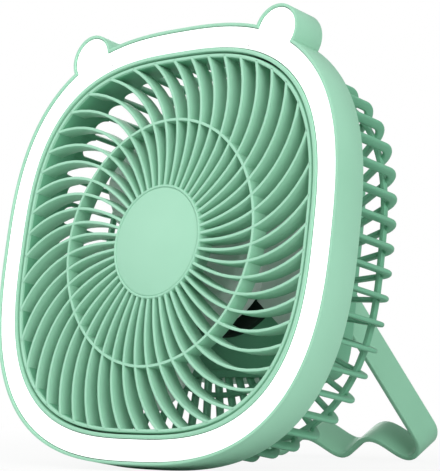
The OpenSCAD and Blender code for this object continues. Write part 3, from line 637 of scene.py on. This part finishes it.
bm = bmesh.new()
flangeOut, flangeBack, e = fan["lip"] + cage["flangeGap"], fan["depth"], cage["flangeEdge"]
lapIn = cage["ribH"] + cage["lapIn"]
wrapRings(bm, [earedRing(flangeOut, cage["flangeFront"]), earedRing(flangeOut, flangeBack - e),
               earedRing(flangeOut + e, flangeBack), cageRing(lapIn - e, flangeBack, 1, ringTurns),
               cageRing(lapIn, flangeBack - e, 1, ringTurns),
               cageRing(lapIn, cage["flangeFront"], 1, ringTurns)])
newPiece("cageFlange", bm, "casing", mintCagePaintedShade, ["cage_flange"])

# The closed wall behind the flange, where each slot between two ribs starts with a round end.
# The flange screws stand in six of the slots, and the wall is left open round their heads.
screwGaps = [round(cage["ribs"] * turn / 360 - cage["phase"] - 0.5) for turn in cage["screwTurns"]]
gapHalf = (twoPi * cage["wide"] / 2 / cage["ribs"] - cage["ribT"]) / 2
perRib, skin, e, foot = cage["wallSteps"], cage["wallSkin"], cage["wallEdge"], flangeBack - cage["wallFoot"]
bm = bmesh.new()
sections = []
for i in range(cage["ribs"] * perRib):
    turn = twoPi * (i / perRib + cage["phase"]) / cage["ribs"]
    fromGap = min(1, abs(i % perRib / perRib - 0.5) * (2 * gapHalf + cage["ribT"]) / gapHalf)
    back = flangeBack + cage["wall"] + gapHalf * (1 - math.sqrt(1 - fromGap ** 2))
    if i // perRib in screwGaps and fromGap < cage["screwGap"]:
        back = flangeBack - overlap
    out, inner = cageRadius(turn), cage["ribH"] - skin
    outward = Vector((math.cos(turn), 0, math.sin(turn)))
    sections.append([outward * (out - inset) + Vector((0, y, 0)) for inset, y in (
        (skin, foot), (skin, back - e), (skin + e, back),
        (inner - e, back), (inner, back - e), (inner, foot))])
wrapRings(bm, sections)
newPiece("cageWall", bm, "casing", mintCagePaintedShade)

bm = bmesh.new()
front, back, t, e = cage["collarFront"], cage["collarBack"], cage["collar"], cage["collarEdge"]
podFace = pod["front"] - overlap
wrapRings(bm, [*edgeRings(podRing, -t, front, *cage["ringEdge"], 1, 1)[::-1],
               *edgeRings(podRing, -t, back, *cage["ringEdge"], 1, -1),
               podRing(-overlap, back), podRing(-overlap, podFace), podRing(t, podFace),
               podRing(t, front + e), podRing(t - e, front)])
newPiece("podCollar", bm, "casing", mintCagePaintedShade)

socket = {
    "y": 59.9, "z": 20.0, "wide": 9.0, "high": 3.2, "gap": 0.3, "steps": 24,
    "faceDeep": 0.3, "faceReach": 8, "faceArea": 20, "rimReach": 12,  # these pick the faces and edges
}


# The pod's flat side loses the faces round the socket, and is filled again with a round-ended hole in it.
def sideSlot(bm):
    u, side = socket, -pod["half"]
    near = side + u["faceDeep"]
    patch = [f for f in bm.faces if f.calc_center_median().x < near and f.calc_area() > u["faceArea"]
             and abs(f.calc_center_median().z - u["z"]) < u["faceReach"]]
    bmesh.ops.delete(bm, geom=patch, context="FACES")
    rim = [e for e in bm.edges if e.is_boundary and e.verts[0].co.x < near
           and all(abs(v.co.z - u["z"]) < u["rimReach"] and pod["front"] + 1 < v.co.y < pod["seam"]
                   for v in e.verts)]
    half, r, turn = (u["wide"] - u["high"]) / 2, u["high"] / 2 + u["gap"], math.pi / u["steps"]
    hole = joinPoints(bm, [(side, u["y"] + r * math.sin(t),
                            u["z"] + (half if math.cos(t) > 0 else -half) + r * math.cos(t))
                           for t in spread(turn, twoPi + turn, u["steps"])])
    bmesh.ops.triangle_fill(bm, use_beauty=True, use_dissolve=False, edges=rim + hole, normal=(-1, 0, 0))
    sinkLoop(bm, hole, (pod["wall"], 0, 0))


bm = bmesh.new()
p = pod
inFront = p["front"] + p["wall"]
wrapRings(bm, [*edgeRings(podRing, 0, p["front"], *p["frontEdge"], 1, 1)[::-1],
               podRing(0, p["seam"] - p["seamEdge"]), podRing(p["seamEdge"], p["seam"]),
               podRing(p["wall"], p["seam"]), podRing(p["wall"], inFront)], closed=False)
pierced(bm, podLoop(p["frontEdge"][0]), [circle(p["tubeHole"], steps=40)], p["front"])
pierced(bm, podLoop(p["wall"]), [circle(p["tubeHole"], steps=40)], inFront)
turned(bm, [(p["tubeHole"], p["front"]), (p["tubeHole"], inFront)], steps=40)
sideSlot(bm)
newPiece("podFront", bm, "casing", mintCagePaintedShade, ["pod_shell"])
print("rear cage and pod front")


# The cover's holes: four screw recesses, two for the buttons, and one for each light pipe.
corners = [(x, z) for x in (-p["post"], p["post"]) for z in (-p["post"], p["post"])]
pipes = [((i - (p["pipes"] - 1) / 2) * p["pipePitch"], p["pipeZ"]) for i in range(p["pipes"])]
buttonHole = p["buttonR"] + p["buttonGap"]
through = ([circle(buttonHole, s * p["buttonX"], p["buttonZ"], 48) for s in (-1, 1)]
           + [circle(p["pipeHole"], x, z, 20) for x, z in pipes])
bm = bmesh.new()
y0, y1, wall = p["seam"] + p["seamGap"], p["back"], p["wall"]
lapReach, lapCut, lapIn = p["lapEdge"]
rings = [podRing(wall, y1 - wall), podRing(wall, y0), podRing(lapReach, y0), podRing(lapIn, y0 + lapCut),
         podRing(0, y0 + lapReach)]
for k in range(7):
    a = math.radians(90 * k / 6)
    rings.append(podRing(p["edge"] * (1 - math.cos(a)), y1 - p["edge"] * (1 - math.sin(a))))
rings.append(podRing(p["edge"] + p["backIn"], y1))
wrapRings(bm, rings, closed=False)
pierced(bm, podLoop(p["edge"] + p["backIn"]),
        [circle(p["screwHole"], x, z, 28) for x, z in corners] + through, y1)
pierced(bm, podLoop(wall), through, y1 - wall)
for x, z in corners:
    turned(bm, [(p["screwHole"], y1), (p["screwHole"], y0 + p["screwFloor"]), (0, y0 + p["screwFloor"])],
           (x, 0, z), steps=28)
for s in (-1, 1):
    turned(bm, [(buttonHole, y1), (buttonHole, y1 - wall)], (s * p["buttonX"], 0, p["buttonZ"]))
for x, z in pipes:
    turned(bm, [(p["pipeHole"], y1), (p["pipeHole"], y1 - wall)], (x, 0, z), steps=20)
newPiece("podCover", bm, "casing", mintCagePaintedShade, ["pod_cover"])
print("pod cover")


rotor = {
    "blades": 3, "tip": 68.0, "tipGap": 0.2, "hub": 28.0, "rootIn": 0.8,
    "backTurn": -38.0, "span": 80.0,  # degrees, a blade's back edge and its reach
    "fullR": 47.0, "taper": 0.85,  # past this radius, the degrees it loses for each mm
    "front": 20.3, "back": 41.7, "edgeIn": 0.9, "camber": 1.6, "thick": 1.7, "edgeShare": 0.35,
    "tipFrom": 0.8, "tipShrink": 0.22, "rows": 16, "steps": 18,
    "hubFront": 21.0, "hubBack": 42.0, "hubRound": 3.5, "hubSkin": 1.6, "hubEdge": 0.4,
    "dish": 0.1, "webOut": 3.0, "webIn": 2.4,
    "bore": 1.55, "coneR": 4.5, "sleeveIn": 17.7, "sleeveOut": 19.1, "sleeveFloor": 27.9,
}


# One outline of a blade, across it from its back edge to its front edge and back on the other face.
def bladeRing(share, start):
    t = rotor
    r = t["hub"] - t["rootIn"] + (t["tip"] - t["tipGap"] - t["hub"] + t["rootIn"]) * share
    reach = t["span"] - t["taper"] * max(0, r - t["fullR"])
    tipIn = max(0, share - t["tipFrom"]) / (1 - t["tipFrom"])
    shrink = t["tipShrink"] * (1 - math.sqrt(max(0, 1 - tipIn ** 2)))
    upper, lower = [], []
    for k in range(t["steps"] + 1):
        s = shrink + (1 - 2 * shrink) * k / t["steps"]
        turn = start + math.radians(t["backTurn"] + reach * s)
        camber = math.sin(math.pi * s) * t["camber"]
        y = t["back"] - t["edgeIn"] - (t["back"] - t["front"] - 2 * t["edgeIn"]) * s + camber
        swell = math.sin(math.pi * (k / t["steps"])) ** 0.5
        thick = t["thick"] * (t["edgeShare"] + (1 - t["edgeShare"]) * swell) / 2
        spot = Vector((r * math.cos(turn), y, r * math.sin(turn)))
        tangent = Vector((-math.sin(turn), 0, math.cos(turn)))
        slope = (t["back"] - t["front"]) / (math.radians(reach) * r)
        normal = Vector((tangent.x * slope, 1, tangent.z * slope)).normalized()
        upper.append(spot - normal * thick)
        lower.append(spot + normal * thick)
    return upper + lower[::-1]


bm = bmesh.new()
for i in range(rotor["blades"]):
    blade = bmesh.new()
    rings = [bladeRing(k / rotor["rows"], twoPi * i / rotor["blades"]) for k in range(rotor["rows"] + 1)]
    wrapRings(blade, rings, closed=False, caps=True)
    joinInto(bm, blade)
newPiece("impellerBlades", bm, "rotor", bladePp, ["impeller_blades"], sharp=60)

bm = bmesh.new()
t, e = rotor, rotor["hubEdge"]
hr, hf, hb, turnIn = t["hub"], t["hubFront"], t["hubBack"], t["hubRound"]
skirtEnd, skirtIn = hb - turnIn, hr - t["hubSkin"]
profile = [(t["coneR"], hf + t["dish"]), (hr - turnIn, hf)]
for k in range(1, 7):
    a = math.radians(90 * k / 6)
    profile.append((hr - turnIn + turnIn * math.sin(a), hf + turnIn * (1 - math.cos(a))))
profile += [(hr, skirtEnd - e), (hr - e, skirtEnd), (skirtIn + e, skirtEnd), (skirtIn, skirtEnd - e),
            (skirtIn, hf + t["webOut"]), (t["sleeveOut"], hf + t["webIn"]), (t["sleeveOut"], hb),
            (t["sleeveIn"], hb), (t["sleeveIn"], t["sleeveFloor"]), (t["bore"], t["sleeveFloor"]),
            (t["bore"], hf + t["dish"]), (t["coneR"], hf + t["dish"])]
turned(bm, profile, steps=96)
newPiece("impellerHub", bm, "rotor", bladePp, ["impeller_hub"])

motor = {
    "radius": 30.5, "front": 44.9, "back": 47.5, "edge": ((1.4, 0), (0.4, 0.3), (0, 1.1)),  # in, and back
    "tubeR": 4.6, "tubeFront": 30.9, "tubeBack": 49.5,
    "bossR": 3.0, "bossAt": 17, "bossTurns": (45, 135, 225, 315), "bossFront": 44.3, "bossBack": 45.2,
    "bossEdge": 0.25,
}
bm = bmesh.new()
m = motor
edge = [(m["radius"] - inset, m["front"] + deep) for inset, deep in m["edge"]]
turned(bm, [(0, m["front"]), (m["tubeR"], m["front"]), *edge, (m["radius"], m["back"]),
            (m["tubeR"], m["back"]), (m["tubeR"], m["tubeBack"]), (0, m["tubeBack"])], steps=72)
disc(bm, m["tubeR"], m["tubeFront"], m["front"] + overlap)
for turn in m["bossTurns"]:
    disc(bm, m["bossR"], m["bossFront"], m["bossBack"], atTurn(math.radians(turn), m["bossAt"]),
         m["bossEdge"], 24)
newPiece("motorBase", bm, "casing", blackNylon, ["motor_base"])
print("impeller and motor")


stand = {
    "wide": 15.5, "thick": 2.4, "edge": 0.6, "reach": 88.503, "splay": 18.4,
    "pitch": 36.0, "wave": 8.5, "waveSteps": 24, "foot": 8.5, "footSteps": 12,
    "eyeThick": 3.0, "eyeHole": 2.05, "eyeProud": 0.3, "eyeEdge": (0.5, 0.15),
}


# The turn at which the strap's far edge rests on the ground.
def standAngle():
    lean = math.radians(fan["lean"])
    ground = -fan["high"] / 2 * math.cos(lean) - fan["depth"] * math.sin(lean)
    high = fan["hingeZ"] * math.cos(lean) - fan["hingeY"] * math.sin(lean) - ground
    far = math.hypot(stand["reach"], stand["wide"] / 2)
    return math.atan2(stand["wide"] / 2, stand["reach"]) + math.acos(high / far) + lean


# The strap's middle line, as spots and directions: wave, foot and leg on one side, and mirrored.
def strapPath():
    s = stand
    off, splay = s["thick"] / 2, math.radians(s["splay"])
    half = []
    for i in range(s["waveSteps"] + 1):
        x = s["pitch"] * i / s["waveSteps"]
        slope = s["wave"] / 2 * math.sin(twoPi * x / s["pitch"]) * twoPi / s["pitch"]
        d = math.hypot(1, slope)
        high = s["wave"] / 2 * (1 - math.cos(twoPi * x / s["pitch"]))
        half.append(((x - off * slope / d, high + off / d), (1 / d, slope / d)))
    for i in range(1, s["footSteps"] + 1):
        a = (math.pi / 2 + splay) * i / s["footSteps"]
        r = s["foot"] - off
        half.append(((s["pitch"] + r * math.sin(a), s["foot"] - r * math.cos(a)), (math.cos(a), math.sin(a))))
    top = legTop - off / math.cos(splay)
    half.append(((top, s["reach"]), (-math.sin(splay), math.cos(splay))))
    left = [((-x, y), (tx, -ty)) for (x, y), (tx, ty) in half[1:]]
    return left[::-1] + half


splay = math.radians(stand["splay"])
legTop = (stand["pitch"] + stand["foot"] * (1 + math.sin(splay)) / math.cos(splay)
          - stand["reach"] * math.tan(splay))
eyeOut = legTop + stand["eyeProud"]
eyeIn = eyeOut - stand["eyeThick"]
hinge = Vector((0, fan["hingeY"], fan["hingeZ"]))
swing = Matrix.Translation(hinge) @ Matrix.Rotation(standAngle(), 4, "X")

bm = bmesh.new()
section = roundBox(stand["wide"] / 2, stand["thick"] / 2, stand["edge"], 4)
stations = [(Vector((x, 0, y - stand["reach"])), Vector((0, 1, 0)), Vector((-ty, 0, tx)))
            for (x, y), (tx, ty) in strapPath()]
sweep(bm, stations, section)
bm.transform(swing)
newPiece("standStrap", bm, "stand", mintStandPaintedShade, ["stand_bail"], sharp=50)

bm = bmesh.new()
eyeRadius, hole = stand["wide"] / 2, stand["eyeHole"]
reach, cut = stand["eyeEdge"]
for s in (-1, 1):
    turned(bm, [(hole, s * eyeIn), (eyeRadius - reach, s * eyeIn), (eyeRadius - cut, s * (eyeIn + cut)),
                (eyeRadius, s * (eyeIn + reach)), (eyeRadius, s * (eyeOut - reach)),
                (eyeRadius - cut, s * (eyeOut - cut)), (eyeRadius - reach, s * eyeOut),
                (hole, s * eyeOut), (hole, s * eyeIn)], axis="x", steps=64)
bm.transform(swing)
newPiece("standEyes", bm, "stand", mintStandPaintedShade)

bracket = {
    "gap": 0.7, "thick": 2.5, "plateHalf": 14.5, "plateEdge": 0.8, "neckFrom": 1.0, "neckHalf": 6.0,
    "neckEdge": 0.2, "knuckleR": 6.0, "knuckleEdge": 0.4,
}
knuckle = eyeIn - bracket["gap"]
bm = bmesh.new()
for front, back, half, edge, segments in (
        (p["back"], p["back"] + bracket["thick"], bracket["plateHalf"], bracket["plateEdge"], 3),
        (p["back"] + bracket["neckFrom"], fan["hingeY"], bracket["neckHalf"], bracket["neckEdge"], 2)):
    block(bm, (-knuckle, front, fan["hingeZ"] - half), (knuckle, back, fan["hingeZ"] + half), edge, segments)
newPiece("bracketBase", bm, "casing", mintCagePaintedShade, ["hinge_bracket"])
bm = bmesh.new()
disc(bm, bracket["knuckleR"], -knuckle, knuckle, (fan["hingeY"], fan["hingeZ"]), bracket["knuckleEdge"],
     56, "x")
newPiece("bracketKnuckle", bm, "casing", mintCagePaintedShade)

# Domed caps, as radius and height over the stand's eye.
capDome = ((0, 2.0), (1.6, 1.98), (3.2, 1.6), (3.85, 1.0), (4.0, 0.5), (4.0, 0.2), (0, 0.2))
bm = bmesh.new()
for s in (-1, 1):
    turned(bm, [(r, s * (eyeOut + high)) for r, high in capDome], hinge, axis="x", steps=48)
newPiece("pinCaps", bm, "casing", turnedSteel, ["pin_caps"])
print("stand")


# Each key is dished, with a raised round border: in from its edge, and down from its top.
key = {
    "proud": 1.0, "stem": 3.0, "dish": 0.45, "dishSide": 0.38,
    "border": ((1.1, 0.08), (0.7, 0), (0.35, 0.06), (0.1, 0.25), (0, 0.6)),
}
for body, nodeName, s in (("fan_key", "fan_button", -1), ("light_key", "light_button", 1)):
    bm = bmesh.new()
    r, top = p["buttonR"], p["back"] + key["proud"]
    border = [(r - inset, top - drop) for inset, drop in key["border"]]
    turned(bm, [(0, top - key["dish"]), (r * 0.5, top - key["dishSide"]), *border,
                (r, p["back"] - key["stem"]), (0, p["back"] - key["stem"])],
           (s * p["buttonX"], 0, p["buttonZ"]))
    newPiece(nodeName.split("_")[0] + "Button", bm, body, mintKey, [nodeName])

# Light pipes with domed ends, as radius and depth below the cover's back.
lensDome = ((0, 0.1), (0.55, 0.15), (0.9, 0.35), (1.0, 0.6), (1.0, 11.5), (0, 11.5))
bm = bmesh.new()
for x, z in pipes:
    turned(bm, [(r, p["back"] - deep) for r, deep in lensDome], (x, 0, z), steps=20)
newPiece("chargeLenses", bm, "casing", clearLens, ["charge_lights"])

screw = {
    "radius": 2.3, "high": 1.6, "flatIn": 0.9, "steps": 24,
    "armShare": 0.82, "armHalf": 0.3, "crossDeep": 0.9,
    "dome": ((0, 0.7), (0.15, 1.15), (0.5, 1.45)),  # in from the edge, and up
}


def crossScrew(bm, x, z, y):
    radius, flat, top = screw["radius"], screw["radius"] - screw["flatIn"], y + screw["high"]
    turned(bm, [(0, y), (radius, y), *((radius - inset, y + up) for inset, up in screw["dome"]), (flat, top)],
           (x, 0, z), steps=screw["steps"])
    arm, half = flat * screw["armShare"], screw["armHalf"]
    cross = [(x + a, z + b) for a, b in (
        (arm, half), (half, half), (half, arm), (-half, arm), (-half, half), (-arm, half),
        (-arm, -half), (-half, -half), (-half, -arm), (half, -arm), (half, -half), (arm, -half))]
    pierced(bm, circle(flat, x, z, screw["steps"]), [cross], top)
    floorLoop = sinkLoop(bm, edgeLoop(bm, cross, top), (0, -screw["crossDeep"], 0))
    bmesh.ops.contextual_create(bm, geom=floorLoop)


def screwSet(name, spots, y, nodes):
    bm = bmesh.new()
    for x, z in spots:
        crossScrew(bm, x, z, y)
    newPiece(name, bm, "casing", zincSteel, nodes)


screwSpots = {"cageIn": 7.5, "bracketX": 8, "bracketZ": 11}
gapTurns = [twoPi * (gap + cage["phase"] + 0.5) / cage["ribs"] for gap in screwGaps]
cageSpots = [atTurn(t, faceRadius(t, screwSpots["cageIn"], fan["square"])) for t in gapTurns]
bracketSpots = [(x, fan["hingeZ"] + z) for x in (-screwSpots["bracketX"], screwSpots["bracketX"])
                for z in (-screwSpots["bracketZ"], screwSpots["bracketZ"])]
screwSet("cageScrewHeads", cageSpots, fan["depth"], ["cage_screws"])
screwSet("coverScrewHeads", corners, p["seam"] + p["screwFloor"], ["cover_screws"])
screwSet("bracketScrewHeads", bracketSpots, p["back"] + bracket["thick"], ["bracket_screws"])
print("buttons, lights and screws")


# The camera sees the floor fade to white paper between near and far, in metres from the middle.
floorLook = {
    "half": 6, "paper": 0.9, "near": 0.12, "far": 0.5, "colour": "#dee0df", "deep": "#d6d9d7",
    "speck": 40, "rough": 0.9, "specular": 0.1,
}


def floorMaterial():
    look = floorLook
    material, tree, shader, coords = newMaterial("paleFloor")
    shader.inputs["Roughness"].default_value = look["rough"]
    shader.inputs["Specular IOR Level"].default_value = look["specular"]
    speck = addNode(tree, "ShaderNodeTexNoise", {}, {"Scale": look["speck"]}, {"Vector": coords})
    tint = addNode(tree, "ShaderNodeMix", {"data_type": "RGBA"},
                   {6: toLinear(look["deep"]), 7: toLinear(look["colour"])}, {0: speck.outputs["Fac"]})
    tree.links.new(tint.outputs[2], shader.inputs["Base Color"])
    path = addNode(tree, "ShaderNodeLightPath")
    distance = addNode(tree, "ShaderNodeVectorMath", {"operation": "LENGTH"}, {}, {0: coords})
    white = addNode(tree, "ShaderNodeMapRange", {"interpolation_type": "SMOOTHSTEP"},
                    {"From Min": look["near"], "From Max": look["far"], "To Min": look["paper"]},
                    {"Value": distance.outputs["Value"]})
    share = addNode(tree, "ShaderNodeMath", {"operation": "MULTIPLY"}, {},
                    {0: path.outputs["Is Camera Ray"], 1: white.outputs[0]})
    paper = addNode(tree, "ShaderNodeEmission", {}, {"Color": (1, 1, 1, 1), "Strength": 1.0})
    mixed = addNode(tree, "ShaderNodeMixShader", {}, {},
                    {0: share.outputs[0], 1: shader.outputs[0], 2: paper.outputs[0]})
    output = next(n for n in tree.nodes if n.type == "OUTPUT_MATERIAL")
    tree.links.new(mixed.outputs[0], output.inputs["Surface"])
    return material


bm = bmesh.new()
bmesh.ops.create_grid(bm, x_segments=8, y_segments=8, size=floorLook["half"])
floorMesh = bpy.data.meshes.new("floor")
bm.to_mesh(floorMesh)
bm.free()
floorMesh.materials.append(floorMaterial())
floor = bpy.data.objects.new("floor", floorMesh)
bpy.context.scene.collection.objects.link(floor)

# The world lights softly, is white to the camera and through glass, and partly white in reflections.
studio = {"ambient": (0.97, 0.99, 1.0, 1), "ambientStrength": 0.22, "mirrorShare": 0.35}
world = bpy.data.worlds.new("studio")
bpy.context.scene.world = world
world.use_nodes = True
tree = world.node_tree
tree.nodes.clear()
path = addNode(tree, "ShaderNodeLightPath")
direct = addNode(tree, "ShaderNodeMath", {"operation": "MAXIMUM"}, {},
                 {0: path.outputs["Is Camera Ray"], 1: path.outputs["Is Transmission Ray"]})
mirrored = addNode(tree, "ShaderNodeMath", {"operation": "MULTIPLY"}, {1: studio["mirrorShare"]},
                   {0: path.outputs["Is Glossy Ray"]})
seen = addNode(tree, "ShaderNodeMath", {"operation": "MAXIMUM"}, {},
               {0: direct.outputs[0], 1: mirrored.outputs[0]})
ambient = addNode(tree, "ShaderNodeBackground", {},
                  {"Color": studio["ambient"], "Strength": studio["ambientStrength"]})
backdrop = addNode(tree, "ShaderNodeBackground", {}, {"Color": (1, 1, 1, 1), "Strength": 1.0})
mixed = addNode(tree, "ShaderNodeMixShader", {}, {},
                {0: seen.outputs[0], 1: ambient.outputs[0], 2: backdrop.outputs[0]})
addNode(tree, "ShaderNodeOutputWorld", links={"Surface": mixed.outputs[0]})

# Square lamps, in metres and watts, all aimed at the fan's middle.
lampSize, lampAim = 1.2, Vector((0, 0, 0.09))
lamps = {
    "key": {"spot": (-1.08, -1.24, 0.92), "watts": 15.5},
    "high": {"spot": (0.2, -0.9, 1.55), "watts": 11.5},
    "right": {"spot": (1.55, -0.66, 0.5), "watts": 21.5},
    "top": {"spot": (0.2, 0.75, 1.6), "watts": 3},
    "rear": {"spot": (-1.4, 1.0, 0.8), "watts": 12},
}
for name, lamp in lamps.items():
    data = bpy.data.lights.new(name, "AREA")
    data.energy = lamp["watts"]
    data.size = lampSize
    light = bpy.data.objects.new(name, data)
    light.location = lamp["spot"]
    light.rotation_mode = "QUATERNION"
    light.rotation_quaternion = (lampAim - Vector(lamp["spot"])).to_track_quat("-Z", "Y")
    bpy.context.scene.collection.objects.link(light)

view = {
    "spot": (0.50068, -0.58102, 0.04073), "turn": (94.1172, 0.1708, 41.7782), "lens": 139.07, "sensor": 36,
    "near": 0.01, "far": 50,
}
camera = bpy.data.objects.new("camera", bpy.data.cameras.new("camera"))
camera.data.sensor_width = view["sensor"]
camera.data.lens = view["lens"]
camera.data.clip_start, camera.data.clip_end = view["near"], view["far"]
camera.location = view["spot"]
camera.rotation_euler = [math.radians(a) for a in view["turn"]]
bpy.context.scene.collection.objects.link(camera)
bpy.context.scene.camera = camera
bpy.context.scene.view_settings.view_transform = "Standard"
print("floor, lights and camera")

bpy.context.view_layer.update()
